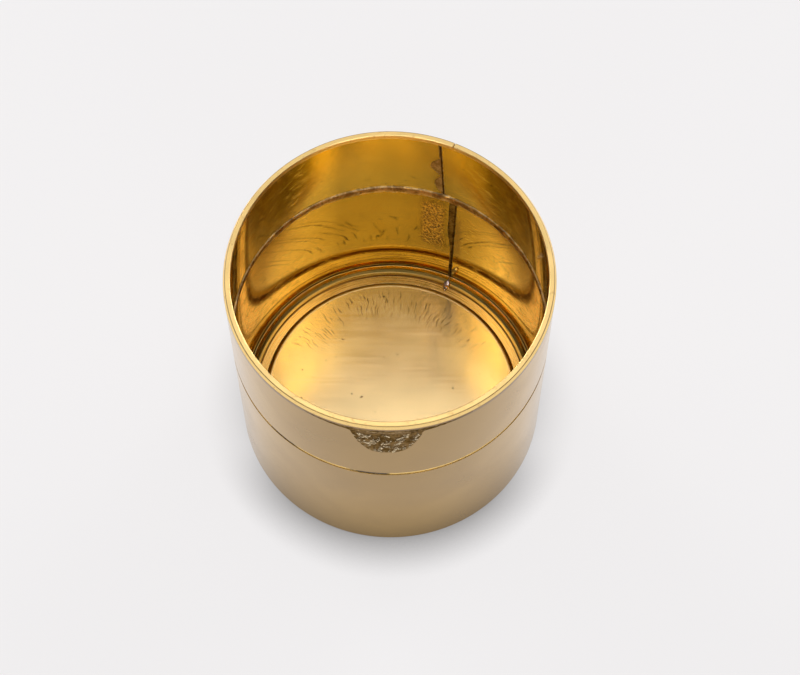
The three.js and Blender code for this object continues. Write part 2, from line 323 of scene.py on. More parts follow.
def brushed_floor_brass():
    material, tree, shader, place = new_material("brushed floor brass")
    x, y, _ = split(tree, place)
    angle, radius = round_axis(tree, x, y)
    strokes = noise(tree, place, 1600, (0.03, 1, 1), 3)
    clouds = noise(tree, place, 60, detail=2)
    unrolled = joined(tree, product(tree, angle, 0.03), radius)
    crescent = product(tree, near(tree, radius, crescent_radius, *crescent_half_widths),
                       between(tree, y, *crescent_fades, smooth=True))
    scored = product(tree, crescent, scratched(tree, unrolled, 1500, (1, 0.075, 1), 0.22))
    # The bevel round the raised disc is painted dark: painted shade on its slope. It is also
    # rougher.
    bevel = between(tree, radius, disc_radius - 0.0008, disc_radius + 0.0001, smooth=True)
    specks = between(tree, noise(tree, place, 700, detail=1), 0.745, 0.77, 0, 0.8)
    shade = blend(tree, between(tree, strokes, 0.4, 0.65, 0, 0.45),
                  (1.0, 0.735, 0.36), (0.84, 0.59, 0.27))
    shade = blend(tree, scored, shade, (0.36, 0.22, 0.08))
    shade = blend(tree, specks, shade, (0.16, 0.08, 0.02))
    shade = blend(tree, bevel, shade, (0.24, 0.13, 0.02))
    rough = maths(tree, "ADD", between(tree, strokes, 0.3, 0.7, 0.13, 0.17),
                  between(tree, clouds, 0.35, 0.65, 0.0, 0.02))
    rough = maths(tree, "MULTIPLY_ADD", bevel, 0.25, rough)
    finished(tree, shader, shade, rough, strokes, 0.0000012)
    shader.inputs["Anisotropic"].default_value = 0.85
    tree.links.new(joined(tree, 0.0, 1.0), shader.inputs["Tangent"])
    return material


round_steps = 720
plate_sheet = 0.0005
plate_radius, _, plate_top = box_of("floor_plate")[1]
crescent_radius = 0.0272
crescent_half_widths = (0.0024, 0.0050)
crescent_fades = (0.010, 0.019)
disc_radius = 0.0335
bevel_foot = 0.03455
bevel_top = plate_top - 0.0009
bevel_knee = (disc_radius + 0.00072, bevel_top + 0.00012)
bevel_shoulder = (disc_radius + 0.00042, plate_top - 0.00008)
sheet_round = 0.0001
edge_round = 0.0002
press_round = 0.0003

bend_round = bending_tree()
floor_brass = brushed_floor_brass()
floor_outline = rounded([
    (0, plate_top - plate_sheet, 0),
    (disc_radius - plate_sheet, plate_top - plate_sheet, press_round),
    (bevel_foot - plate_sheet, bevel_top - plate_sheet, press_round),
    (bevel_foot - plate_sheet, 0, edge_round),
    (plate_radius, 0, edge_round),
    (plate_radius, plate_sheet, sheet_round),
    (bevel_foot, plate_sheet, sheet_round),
    (bevel_foot, bevel_top, edge_round),
    (*bevel_knee, press_round),
    (*bevel_shoulder, press_round),
    (disc_radius, plate_top, press_round),
    (0, plate_top, 0),
], closed=False)
floor_plate = shaped(
    profile("floor", floor_outline, closed=False), bend_round,
    Steps=round_steps, Gap=0.0, Ends=False, Outside_finish=floor_brass,
    Inside_finish=floor_brass, Inside_radius=0.0,
)
stands_for(floor_plate, "floor_plate")


# The foot ring: a strip of moulded brass bent into a ring and butted at the back right. From the
# middle out it has a flat land, a small rounded step, and a hollow that climbs to a thin lip
# against the wall. Drawing it through the die left lines along its length.

ring_foot = box_of("foot_ring")[0][2]
ring_outer, _, lip_top = box_of("foot_ring")[1]
foot_seam = math.radians(65.4)
foot_gap = 0.00015
land_radius = bevel_foot + 0.00003
land_top = 0.0010
step_radius = 0.03685
step_top = 0.0016
hollow_foot = 0.03765
hollow_middle = (0.03852, 0.00202)
hollow_top = 0.03912
lip_radius = 0.03936
hollow_round = 0.0005
lip_round = 0.00008
crisp_round = 0.00005
land_round = 0.00002


def drawn_moulding_brass():
    material, tree, shader, place = new_material("drawn moulding brass")
    x, y, z = split(tree, place)
    angle, radius = round_axis(tree, x, y)
    unrolled = joined(tree, product(tree, angle, 0.036), radius, z)
    lines = noise(tree, unrolled, 4000, (0.02, 1, 1), 3)
    stains = noise(tree, unrolled, 260, (0.35, 1, 1), 4)
    # Painted light and shade over the moulding: the land is painted lighter than the brass past the
    # step, the hollow and the step's riser are painted dark as painted shade, and the lip's top is
    # painted lighter than the hollow as a painted highlight.
    painted_step_shade = between(tree, radius, step_radius - 0.00025, step_radius + 0.00015)
    painted_hollow_shade = between(tree, radius, hollow_foot - 0.00005, hollow_foot + 0.00025)
    painted_lip_highlight = between(tree, radius, hollow_top - 0.00022, hollow_top - 0.00002)
    painted_riser_shade = near(tree, radius, step_radius + 0.00003, 0.00010, 0.00022, smooth=False)
    shade = blend(tree, painted_step_shade, (1.0, 0.69, 0.29), (0.80, 0.54, 0.17))
    shade = blend(tree, painted_hollow_shade, shade, (0.24, 0.16, 0.04))
    shade = blend(tree, painted_lip_highlight, shade, (0.60, 0.46, 0.20))
    shade = blend(tree, painted_riser_shade, shade, (0.20, 0.10, 0.015))
    shade = blend(tree, between(tree, stains, 0.5, 0.75, 0, 0.6), shade, (0.50, 0.27, 0.06))
    finished(tree, shader, shade, between(tree, lines, 0.3, 0.7, 0.22, 0.34), lines, 0.000006)
    return material


moulding_brass = drawn_moulding_brass()
ring_outline = rounded([
    (ring_outer, ring_foot, sheet_round),
    (lip_radius, lip_top, lip_round),
    (hollow_top, lip_top, lip_round),
    (*hollow_middle, hollow_round),
    (hollow_foot, step_top, crisp_round),
    (step_radius, step_top, crisp_round),
    (step_radius, land_top, lip_round),
    (land_radius, land_top, land_round),
    (land_radius, ring_foot, land_round),
])
foot_ring = shaped(
    profile("foot_ring_moulding", ring_outline), bend_round,
    Steps=round_steps, Gap=foot_gap, Seam_at_foot=foot_seam, Seam_at_top=foot_seam,
    Foot=0.0, Top=lip_top, Ends=True, Outside_finish=moulding_brass,
    Inside_finish=moulding_brass, Inside_radius=0.0,
)
stands_for(foot_ring, "foot_ring")


# The dab of bright solder over the foot ring's butt joint. It ran down from the lip over the
# hollow, the step and the land, and set in a small smooth lump.

slab = 0.001
edge_sunk = 0.00003
underside_sunk = 0.0002
crackle_fade = 0.001
tiny = 1e-6


def either(tree, test, if_true, if_false):
    """One of two lengths, by a test."""
    return node(tree, "GeometryNodeSwitch", {
        "Switch": test, "True": if_true, "False": if_false,
    }, input_type="FLOAT").outputs[0]


def filled_outline(tree, given):
    """A fine closed slab inside the outline."""
    outline = node(tree, "GeometryNodeMeshToCurve", {"Mesh": given["Geometry"]})
    filled = node(tree, "GeometryNodeFillCurve", {"Curve": outline.outputs[0]})
    box = node(tree, "GeometryNodeBoundBox", {"Geometry": given["Geometry"]}).outputs
    span = node(tree, "ShaderNodeVectorMath", {0: box["Max"], 1: box["Min"]},
                operation="SUBTRACT")
    middle = node(tree, "ShaderNodeMix", {"Factor": 0.5, 4: box["Min"], 5: box["Max"]},
                  data_type="VECTOR")
    wide, high, _ = split(tree, span.outputs[0])
    grid = node(tree, "GeometryNodeMeshGrid", {
        "Size X": wide, "Size Y": high,
        "Vertices X": maths(tree, "DIVIDE", wide, given["Spacing"]),
        "Vertices Y": maths(tree, "DIVIDE", high, given["Spacing"]),
    })
    moved = node(tree, "GeometryNodeSetPosition", {
        "Geometry": grid.outputs[0], "Offset": middle.outputs[1],
    })
    away = node(tree, "GeometryNodeProximity", {"Geometry": filled.outputs[0]},
                target_element="FACES").outputs["Distance"]
    trimmed = node(tree, "GeometryNodeDeleteGeometry", {
        "Geometry": moved.outputs[0], "Selection": over(tree, away, tiny),
    })
    raised = node(tree, "GeometryNodeExtrudeMesh", {
        "Mesh": trimmed.outputs[0], "Offset": (0, 0, 1), "Offset Scale": slab,
        "Individual": False,
    })
    under = node(tree, "GeometryNodeFlipFaces", {"Mesh": trimmed.outputs[0]})
    both = node(tree, "GeometryNodeJoinGeometry", {0: under.outputs[0]})
    tree.links.new(raised.outputs["Mesh"], both.inputs[0])
    return node(tree, "GeometryNodeMergeByDistance", {
        "Geometry": both.outputs[0], "Distance": tiny,
    })


def lying_tree():
    """Lays a flat outline of metal along a bed, thickens it, and wraps it round the axis."""
    tree, given = new_tree("lie on a bed", {
        "Bed": "Object", "Spacing": "Float", "Foot": "Float", "Top": "Float",
        "Seam at foot": "Float", "Seam at top": "Float", "Thickness": "Float", "Fade": "Float",
        "Lump size": "Float", "Lumps": "Float", "Ragged": "Float", "Crackle size": "Float",
        "Crackle": "Float", "Crackle start": "Float", "Web": "Float", "Web depth": "Float",
        "Crease": "Float", "Crease depth": "Float", "Finish": "Material",
    })
    marked = filled_outline(tree, given)
    across, along, side = position(tree)
    flat = joined(tree, across, along)
    edge = node(tree, "GeometryNodeProximity", {
        "Geometry": given["Geometry"], "Sample Position": flat,
    }, target_element="EDGES").outputs["Distance"]
    swell = noise(tree, flat, maths(tree, "DIVIDE", 1.0, given["Lump size"]), detail=4)
    uneven = maths(tree, "SUBTRACT", swell, 0.5)
    reach = maths(tree, "MULTIPLY_ADD", uneven, given["Ragged"], edge)
    rise = between(tree, reach, 0.0, given["Fade"], smooth=True)
    cracks = noise(tree, flat, maths(tree, "DIVIDE", 1.0, given["Crackle size"]), detail=3,
                   distortion=1.8)
    kept = noise(tree, flat, maths(tree, "DIVIDE", 1.3, given["Crackle size"]), detail=1)
    begun = between(tree, along, given["Crackle start"],
                    maths(tree, "ADD", given["Crackle start"], crackle_fade))
    ridge = product(tree, near(tree, cracks, 0.5, 0.0, 0.04), between(tree, kept, 0.42, 0.50),
                    begun, rise)
    crease = near(tree, across, given["Crease"], 0.00005, 0.0003)
    body = product(tree, given["Thickness"],
                   maths(tree, "MULTIPLY_ADD", uneven, given["Lumps"], 1.0))
    height = maths(tree, "MULTIPLY_ADD", body, rise, -edge_sunk)
    height = maths(tree, "MULTIPLY_ADD", ridge, given["Crackle"], height)
    height = maths(tree, "SUBTRACT", height, product(tree, crease, given["Crease depth"]))
    webbed = over(tree, given["Web"], maths(tree, "ABSOLUTE", across))
    depth = either(tree, webbed, product(tree, given["Web depth"], -1.0), -underside_sunk)
    lift = either(tree, over(tree, side, slab / 2), height, depth)
    for name, value in (("ridge", ridge), ("crease", crease)):
        marked = node(tree, "GeometryNodeStoreNamedAttribute", {
            "Geometry": marked.outputs[0], "Name": name, "Value": value,
        })
    bed = node(tree, "GeometryNodeObjectInfo", {"Object": given["Bed"]})
    bed_line = node(tree, "GeometryNodeMeshToCurve", {"Mesh": bed.outputs["Geometry"]})
    spot = node(tree, "GeometryNodeSampleCurve", {
        "Curves": bed_line.outputs[0], "Length": along,
    }, mode="LENGTH").outputs
    foot_x, foot_y, _ = split(tree, spot["Position"])
    lean_x, lean_y, _ = split(tree, spot["Tangent"])
    radius = maths(tree, "SUBTRACT", foot_x, product(tree, lean_y, lift))
    up = maths(tree, "MULTIPLY_ADD", lean_x, lift, foot_y)
    angle = maths(tree, "ADD", leaning_seam(tree, given, up),
                  maths(tree, "DIVIDE", across, radius))
    placed = placed_round(tree, marked.outputs[0], angle, radius, up)
    outward = node(tree, "GeometryNodeFlipFaces", {"Mesh": placed})
    smooth = node(tree, "GeometryNodeSetShadeSmooth", {"Geometry": outward.outputs[0]})
    real = node(tree, "GeometryNodeRealizeInstances", {"Geometry": smooth.outputs[0]})
    coat = node(tree, "GeometryNodeSetMaterial", {
        "Geometry": real.outputs[0], "Material": given["Finish"],
    })
    node(tree, "NodeGroupOutput", {0: coat.outputs[0]})
    return tree


def laid(name, outline, bed_points, **inputs):
    """A piece with the given outline, laid along a bed line that is used up in the making."""
    smooth = {"Crackle_size": 0.001, "Crackle": 0.0, "Crackle_start": 1.0,
              "Web": 0.0, "Web_depth": 0.0, "Crease": 1.0, "Crease_depth": 0.0}
    bed = flat_line(name + " bed", bed_points)
    piece = shaped(flat_line(name, outline, closed=True), lie_on_bed, Bed=bed,
                   **{**smooth, **inputs})
    bpy.data.objects.remove(bed)
    return piece


def bright_tin():
    material, tree, shader, place = new_material("bright solder")
    clouds = noise(tree, place, 700, detail=3)
    shade = blend(tree, between(tree, clouds, 0.4, 0.62), (0.86, 0.82, 0.86), (0.30, 0.23, 0.30))
    finished(tree, shader, shade, between(tree, clouds, 0.3, 0.7, 0.15, 0.35),
             noise(tree, place, 1800, detail=2), 0.00002)
    return material


lie_on_bed = lying_tree()
dab_half_width = 0.0010
dab_from = 0.0006
dab_to = 0.0043
dab_steps = 24
dab_waviness = 0.18
ring_bed = [
    (bevel_foot + 0.0001, land_top),
    (step_radius - 0.0002, land_top),
    (step_radius + 0.0002, step_top),
    (hollow_foot, step_top),
    hollow_middle,
    (hollow_top, lip_top),
]
dab_outline = []
for k in range(dab_steps):
    turn = math.tau * k / dab_steps
    dab_outline.append((
        dab_half_width * math.cos(turn) * (1 + dab_waviness * math.sin(3 * turn)),
        (dab_from + dab_to) / 2 + (dab_to - dab_from) / 2 * math.sin(turn),
    ))
dab = laid(
    "foot_ring_dab", dab_outline, ring_bed, Spacing=0.00005, Foot=0.0, Top=lip_top,
    Seam_at_foot=foot_seam, Seam_at_top=foot_seam, Thickness=0.00032, Fade=0.0005,
    Lump_size=0.0009, Lumps=0.9, Ragged=0.0003, Finish=bright_tin(),
)
stands_for(dab, "foot_ring_solder")


# The lower band: sheet brass rolled into a tube, its edges butted at the back right along a line
# that leans a little. Outside it is polished, in a brass painted darker than the inside's as
# painted shade, and painted darker still at the front as more painted shade. Inside it is
# brushed and scratched, and the torch left it pitted and browned beside the seam.

wall_outer, _, lower_top = box_of("lower_band")[1]
wall_thickness = 0.0005
wall_inner = wall_outer - wall_thickness
wall_middle = (wall_inner + wall_outer) / 2
inside_round = 0.039
foot_round = 0.00025
groove_round = 0.00012
seam_gap = 0.00045
lower_seam_foot = math.radians(65.4)
lower_seam_top = math.radians(64.4)


def unrolled_wall(tree, place, radius):
    """The place on a round wall as flat lengths, round the wall and up it."""
    x, y, z = split(tree, place)
    return joined(tree, product(tree, maths(tree, "ARCTAN2", y, x), radius), z)


def polished_brass():
    material, tree, shader, place = new_material("polished brass")
    wall = unrolled_wall(tree, place, wall_outer)
    clouds = noise(tree, wall, 55, (1, 1, 1), 4, 0.55, 0.5)
    _, y, up = split(tree, place)
    # The front of the wall is painted darker from a little above its foot upwards: painted shade.
    painted_front_shade = product(tree, between(tree, y, -0.0395, -0.020, 0.7, 0, True),
                      between(tree, up, 0.008, 0.034))
    # A dark line round the top of the wall, under the rim: partly the solder line there and partly
    # painted shade under the rim.
    dark_band = between(tree, up, 0.0723, 0.0728, 0, 0.8)
    # The outside brass is about half as bright as the inside brass of the same sheet: painted
    # shade.
    shade = blend(tree, between(tree, clouds, 0.3, 0.7), (0.50, 0.285, 0.025), (0.45, 0.25, 0.02))
    shade = blend(tree, painted_front_shade, shade, (0.25, 0.13, 0.008))
    shade = blend(tree, dark_band, shade, (0.16, 0.085, 0.02))
    finished(tree, shader, shade, between(tree, clouds, 0.3, 0.7, 0.18, 0.28),
             noise(tree, wall, 120, (0.3, 1, 1), 2), 0.000006)
    shader.inputs["Specular Tint"].default_value = (1.0, 0.89, 0.70, 1)
    shader.inputs["Coat Weight"].default_value = 0.8
    shader.inputs["Coat Roughness"].default_value = 0.15
    return material


def brushed_wall_brass(name, light, dark):
    """The brushed inside of a band, clouded between two colours, pitted beside its seam."""
    material, tree, shader, place = new_material(name)
    wall = unrolled_wall(tree, place, inside_round)
    back, burnt_left, band_right = 0.0613, 0.0500, 0.0430
    across, up, _ = split(tree, wall)
    clouds = noise(tree, wall, 90, (1, 1, 1), 5, 0.6)
    mottle = noise(tree, wall, 1100, (0.7, 1, 1), 3)
    shade = blend(tree, between(tree, maths(tree, "ADD", clouds, mottle), 0.88, 1.12), light, dark)
    specks = between(tree, noise(tree, wall, 600, detail=1), 0.74, 0.78, 0, 0.7)
    shade = blend(tree, specks, shade, (0.30, 0.14, 0.02))
    burnt = product(tree, near(tree, across, burnt_left, 0.0022, 0.0042),
                    near(tree, up, 0.030, 0.009, 0.015))
    pits = noise(tree, wall, 1700, (1.2, 0.8, 1), 2, distortion=1.0)
    browned = product(tree, burnt, between(tree, pits, 0.45, 0.54, 0, 0.95))
    shade = blend(tree, browned, shade, (0.34, 0.15, 0.01))
    # A brown band to the right of the lower seam.
    dark_band = product(tree, near(tree, across, band_right, 0.0002, 0.0018),
                      near(tree, up, 0.026, 0.006, 0.014), 0.6)
    shade = blend(tree, dark_band, shade, (0.50, 0.25, 0.02))
    # The foot of the wall, in the corner above the foot ring, is painted darker: painted shade.
    painted_edge_shade = between(tree, up, 0.0031, 0.0043, 0.85, 0)
    shade = blend(tree, painted_edge_shade, shade, (0.22, 0.15, 0.04))
    hairs = noise(tree, wall, 1500, (0.12, 1, 1), 3)
    rough = maths(tree, "ADD", between(tree, hairs, 0.3, 0.7, 0.025, 0.05),
                  between(tree, clouds, 0.35, 0.65, 0.0, 0.03))
    sides = between(tree, apart(tree, across, back), 0.012, 0.024)
    around = scratched(tree, wall, 2300, (0.06, 1, 1), 0.16)
    steep = scratched(tree, wall, 2300, (1, 0.10, 1), 0.10)
    hurt = maths(tree, "MAXIMUM", product(tree, around, sides), product(tree, steep, 0.35))
    rough = maths(tree, "MAXIMUM", rough, product(tree, hurt, 0.26))
    relief = product(tree, noise(tree, wall, 70, (0.5, 1, 1), 2), 0.4)
    for height, share in ((product(tree, burnt, pits), 2.4), (mottle, 0.10), (hurt, 0.25)):
        relief = maths(tree, "MULTIPLY_ADD", height, share, relief)
    finished(tree, shader, shade, rough, relief, 0.000030)
    return material


outer_brass = polished_brass()
lower_inner_brass = brushed_wall_brass("lower brushed brass", (1.0, 0.65, 0.05),
                                       (0.94, 0.59, 0.035))
lower_outline = rounded([
    (wall_inner, 0, sheet_round),
    (wall_outer, 0, foot_round),
    (wall_outer, lower_top, groove_round),
    (wall_inner, lower_top, sheet_round),
])
lower_band = shaped(
    profile("lower_wall", lower_outline), bend_round,
    Steps=round_steps, Gap=seam_gap, Seam_at_foot=lower_seam_foot, Seam_at_top=lower_seam_top,
    Foot=0.0, Top=lower_top, Ends=True, Outside_finish=outer_brass,
    Inside_finish=lower_inner_brass, Inside_radius=wall_middle,
)
stands_for(lower_band, "lower_band")


# The solder of the lower seam. It fills the seam and lies on the inside of the wall in a strip,
# wide and dull under the joint and narrow below, with a dark hairline where the edges meet.

wall_bed = [(wall_inner, 0), (wall_inner, 0.1)]
web_half = 0.0002
web_depth = 0.0004
seam_steps = 120


def dull_solder(name, light, dark):
    """Grainy solder between two colours, with a painted highlight on its ridges and black in its
    crease.
    """
    material, tree, shader, place = new_material(name)
    grain = noise(tree, place, 1500, detail=5, roughness=0.65)
    clouds = noise(tree, place, 300, detail=2)
    crest = node(tree, "ShaderNodeAttribute", attribute_name="ridge").outputs["Fac"]
    groove = node(tree, "ShaderNodeAttribute", attribute_name="crease").outputs["Fac"]
    shade = blend(tree, between(tree, maths(tree, "ADD", grain, clouds), 0.88, 1.12), light, dark)
    # The ridges are painted pale: a painted highlight.
    shade = blend(tree, between(tree, crest, 0.3, 0.7), shade, (1.0, 0.85, 0.58))
    shade = blend(tree, groove, shade, (0.035, 0.025, 0.02))
    rough = maths(tree, "MULTIPLY_ADD", crest, -0.2, between(tree, grain, 0.3, 0.7, 0.35, 0.55))
    finished(tree, shader, shade, rough, grain, 0.00008)
    shader.inputs["Specular Tint"].default_value = (0.66, 0.50, 0.32, 1)
    return material


def seam_outline(foot, top, left, right):
    """The outline of a strip of solder: its left edge up the wall, and its right edge down."""
    heights = [foot + (top - foot) * k / seam_steps for k in range(seam_steps + 1)]
    return [(left(z), z) for z in heights] + [(-right, z) for z in reversed(heights)]


def lower_left_edge(z):
    narrow, wide = 0.0008, 0.0019
    share = min(max((z - 0.018) / 0.012, 0), 1)
    return narrow + (wide - narrow) * share * share * (3 - 2 * share)


lower_solder = laid(
    "lower_seam_solder",
    seam_outline(plate_sheet, lower_top - 0.0001, lower_left_edge, 0.00042), wall_bed,
    Spacing=0.0001, Foot=0.0, Top=lower_top, Seam_at_foot=lower_seam_foot,
    Seam_at_top=lower_seam_top, Thickness=0.0002, Fade=0.0003, Lump_size=0.0014, Lumps=1.6,
    Ragged=0.0006, Web=web_half, Web_depth=web_depth, Crease=0.0, Crease_depth=0.00012,
    Finish=dull_solder("dark solder", (0.34, 0.26, 0.12), (0.10, 0.075, 0.04)),
)
stands_for(lower_solder, "lower_seam_solder")


# The solder between the two bands, run round by hand. Outside it lies back in a narrow groove.
# Inside it stands out in a bead, thick and lumpy at the back and thin at the sides.

upper_foot = box_of("upper_band")[0][2]
joint_middle = (lower_top + upper_foot) / 2
joint_half = 0.00055
joint_face = 0.03985
bead_half = 0.00145
bead_proud = 0.00065
bead_root = wall_inner + 0.0001
bead_edge = wall_inner + 0.00004
bead_fullness = 0.7
bead_steps = 24


def pouring_tree():
    """Sweeps an outline round the axis and makes its inner part swell, wander and pit."""
    tree, given = new_tree("pour round", {
        "Steps": "Int", "Middle": "Float", "Wall": "Float", "Thick angle": "Float",
        "Thin share": "Float", "Lumps": "Float", "Wander": "Float", "Grain": "Float",
        "Outside finish": "Material", "Inside finish": "Material", "Inside radius": "Float",
    })
    straight = swept(tree, given, False)
    along, radius, up = position(tree)
    angle = product(tree, along, math.tau)
    towards = maths(tree, "COSINE", maths(tree, "SUBTRACT", angle, given["Thick angle"]))
    close = maths(tree, "POWER", maths(tree, "MULTIPLY_ADD", towards, 0.5, 0.5), 3.0)
    share = maths(tree, "MULTIPLY_ADD", maths(tree, "SUBTRACT", 1.0, given["Thin share"]), close,
                  given["Thin share"])
    off = maths(tree, "SUBTRACT", up, given["Middle"])
    side = product(tree, maths(tree, "SIGN", off), 0.02)
    ring_x = product(tree, maths(tree, "COSINE", angle), wall_outer)
    ring_y = product(tree, maths(tree, "SINE", angle), wall_outer)
    ring = joined(tree, ring_x, ring_y, side)
    swell = maths(tree, "SUBTRACT", noise(tree, ring, 420, detail=5, roughness=0.6), 0.5)
    drift = maths(tree, "SUBTRACT", noise(tree, ring, 60, detail=2), 0.5)
    spot = joined(tree, ring_x, ring_y, up)
    pits = maths(tree, "SUBTRACT", noise(tree, spot, 1600, (1, 1, 1), 4, 0.6), 0.5)
    grow = product(tree, share, maths(tree, "MULTIPLY_ADD", swell, given["Lumps"], 1.0))
    proud = maths(tree, "SUBTRACT", given["Wall"], radius)
    new_proud = maths(tree, "MULTIPLY_ADD", pits, given["Grain"], product(tree, proud, grow))
    new_radius = either(tree, over(tree, proud, 0.0),
                        maths(tree, "SUBTRACT", given["Wall"], new_proud), radius)
    wandered = maths(tree, "MULTIPLY_ADD", off, grow, product(tree, drift, given["Wander"]))
    new_up = either(tree, over(tree, proud, -0.00015),
                    maths(tree, "ADD", given["Middle"], wandered), up)
    finish_tree(tree, given, placed_round(tree, straight, angle, new_radius, new_up))
    return tree


def tarnished_groove():
    """Bright brass solder, black with tarnish in a few stretches of the groove."""
    material, tree, shader, place = new_material("tarnished groove")
    x, y, _ = split(tree, place)
    back = maths(tree, "ARCTAN2", x, y)
    stains = noise(tree, place, 300, detail=4, roughness=0.6)
    ragged = maths(tree, "SUBTRACT", stains, 0.5)
    tarnish = 0.0
    for middle, half in ((-138, 7), (-174, 9), (110, 6), (-40, 15), (60, 12)):
        away = apart(tree, back, math.radians(middle))
        reach = maths(tree, "MULTIPLY_ADD", ragged, 0.25, away)
        patch = between(tree, reach, math.radians(half * 0.6), math.radians(half), 1, 0)
        tarnish = maths(tree, "MAXIMUM", tarnish, patch)
    shade = blend(tree, tarnish, (1.0, 0.68, 0.20), (0.10, 0.055, 0.015))
    finished(tree, shader, shade, between(tree, stains, 0.3, 0.7, 0.22, 0.42),
             noise(tree, place, 1200, detail=3), 0.00001)
    return material


pour_round = pouring_tree()
tan_solder = dull_solder("tan solder", (0.62, 0.46, 0.26), (0.30, 0.20, 0.10))
bead_outline = [
    (joint_face, joint_middle - joint_half),
    (joint_face, joint_middle + joint_half),
    (bead_root, joint_middle + joint_half),
]
for k in range(bead_steps + 1):
    turn = math.pi * k / bead_steps
    bead_outline.append((
        bead_edge - bead_proud * math.sin(turn) ** bead_fullness,
        joint_middle + bead_half * math.cos(turn),
    ))
bead_outline.append((bead_root, joint_middle - joint_half))
joint_solder = shaped(
    profile("joint_solder_bead", bead_outline), pour_round,
    Steps=1800, Middle=joint_middle, Wall=wall_inner, Thick_angle=math.radians(80),
    Thin_share=0.5, Lumps=0.9, Wander=0.0006, Grain=0.00022,
    Outside_finish=tarnished_groove(), Inside_finish=tan_solder, Inside_radius=bead_root,
)
stands_for(joint_solder, "joint_solder")


# The upper band: a second tube of the same sheet, standing on the solder of the joint. Inside it
# is a little paler than the lower one.

upper_top = box_of("upper_band")[1][2]
upper_seam_foot = math.radians(69.5)
upper_seam_top = math.radians(71.7)

upper_inner_brass = brushed_wall_brass("upper brushed brass", (1.0, 0.75, 0.13),
                                       (0.94, 0.69, 0.10))
upper_outline = rounded([
    (wall_inner, upper_foot, sheet_round),
    (wall_outer, upper_foot, groove_round),
    (wall_outer, upper_top, crisp_round),
    (wall_inner, upper_top, crisp_round),
])
upper_band = shaped(
    profile("upper_wall", upper_outline), bend_round,
    Steps=round_steps, Gap=seam_gap, Seam_at_foot=upper_seam_foot, Seam_at_top=upper_seam_top,
    Foot=upper_foot, Top=upper_top, Ends=True, Outside_finish=outer_brass,
    Inside_finish=upper_inner_brass, Inside_radius=wall_middle,
)
stands_for(upper_band, "upper_band")


# The solder of the upper seam: a dark crease in the seam, and two thin smears that ran out of it
# on its left.


def bump_at(value, middle, half):
    """A smooth hump from 0 to 1 and back, one half width on each side of its middle."""
    share = abs(value - middle) / half
    return 0.5 + 0.5 * math.cos(math.pi * share) if share < 1 else 0.0


def upper_left_edge(z):
    upper_smear = 0.0025 * math.sqrt(bump_at(z, 0.0608, 0.0040))
    lower_smear = 0.0018 * math.sqrt(bump_at(z, 0.0522, 0.0042))
    return 0.0006 + upper_smear + lower_smear


upper_solder = laid(
    "upper_seam_solder",
    seam_outline(upper_foot, upper_top - 0.0002, upper_left_edge, 0.0004), wall_bed,
    Spacing=0.0001, Foot=upper_foot, Top=upper_top, Seam_at_foot=upper_seam_foot,
    Seam_at_top=upper_seam_top, Thickness=0.00014, Fade=0.0002, Lump_size=0.0012, Lumps=1.4,
    Ragged=0.0006, Web=web_half, Web_depth=web_depth, Crease=0.0, Crease_depth=0.00016,
    Finish=dull_solder("smeared solder", (0.60, 0.46, 0.28), (0.34, 0.25, 0.14)),
)
stands_for(upper_solder, "upper_seam_solder")


# The half-moon under the rim at the front: metal that was once soldered on here, now a crackled
# skin of ridges on a dull ground, the ridges painted pale as a painted highlight. Above it lies a
# smooth brown crescent: a dark sheet that stands in for painted shade under the rim.

moon_middle = math.radians(269.1)
moon_half = 0.0094
moon_drop = 0.0135
shade_crescent_half = 0.0230
shade_crescent_drop = 0.0027
moon_steps = 160


def moon_edge(x):
    """How far below the rim the half-moon or its crescent reaches, at a place along the rim."""
    moon = moon_drop * (1 - (abs(x) / moon_half) ** 3) if abs(x) < moon_half else 0.0
    # The crescent is a dark sheet that stands in for painted shade under the rim.
    crescent = shade_crescent_drop * (1 - abs(x) / shade_crescent_half) + 0.0002
    return max(moon, crescent)


moon_places = [shade_crescent_half * (2 * k / moon_steps - 1) for k in range(moon_steps + 1)]
moon_outline = [(x, moon_edge(x)) for x in moon_places]
moon_outline += [(shade_crescent_half, 0.0), (-shade_crescent_half, 0.0)]
moon = laid(
    "half_moon_patch", moon_outline, [(wall_outer, upper_top), (wall_outer, 0)],
    Spacing=0.00012, Foot=0.0, Top=1.0, Seam_at_foot=moon_middle, Seam_at_top=moon_middle,
    Thickness=0.00007, Fade=0.0005, Lump_size=0.0011, Lumps=1.6, Ragged=0.0006,
    Crackle_size=0.0026, Crackle=0.00024, Crackle_start=0.0018,
    Finish=dull_solder("crackled metal", (0.30, 0.20, 0.10), (0.11, 0.07, 0.035)),
)
stands_for(moon, "half_moon_patch")


# The thin fillet of solder under the rim. It was run round the corner where the rim's square
# wire overhangs the inside of the wall.

fillet_top = upper_top - 0.00005
fillet_root = wall_inner + 0.00008
fillet_width = 0.0006
fillet_drop = 0.0010
fillet_outline = [
    (fillet_root, fillet_top),
    (wall_inner - fillet_width, fillet_top),
    (wall_inner - 0.00045, upper_top - 0.0002),
    (wall_inner - 0.00018, upper_top - 0.00045),
    (wall_inner - 0.00005, upper_top - 0.0008),
    (fillet_root, upper_top - fillet_drop),
]
rim_solder = shaped(
    profile("rim_solder_fillet", fillet_outline), pour_round,
    Steps=1200, Middle=fillet_top, Wall=wall_inner, Thick_angle=math.radians(100),
    Thin_share=0.7, Lumps=0.8, Wander=0.0, Grain=0.00003,
    Outside_finish=tan_solder, Inside_finish=tan_solder, Inside_radius=0.0,
)
stands_for(rim_solder, "rim_solder")


# The rim: square brass wire bent into a ring, soldered on top of the wall, filed flat on top and
# bevelled on its outer edge. Its ends meet at the back right with a hair's width between them.

rim_top = box_of("rim_ring")[1][2]
rim_inner = 0.03825
rim_bevel = 0.0005
rim_bevel_drop = 0.00095
rim_inner_bevel = 0.00015
rim_seam = math.radians(66)
rim_gap = 0.00035


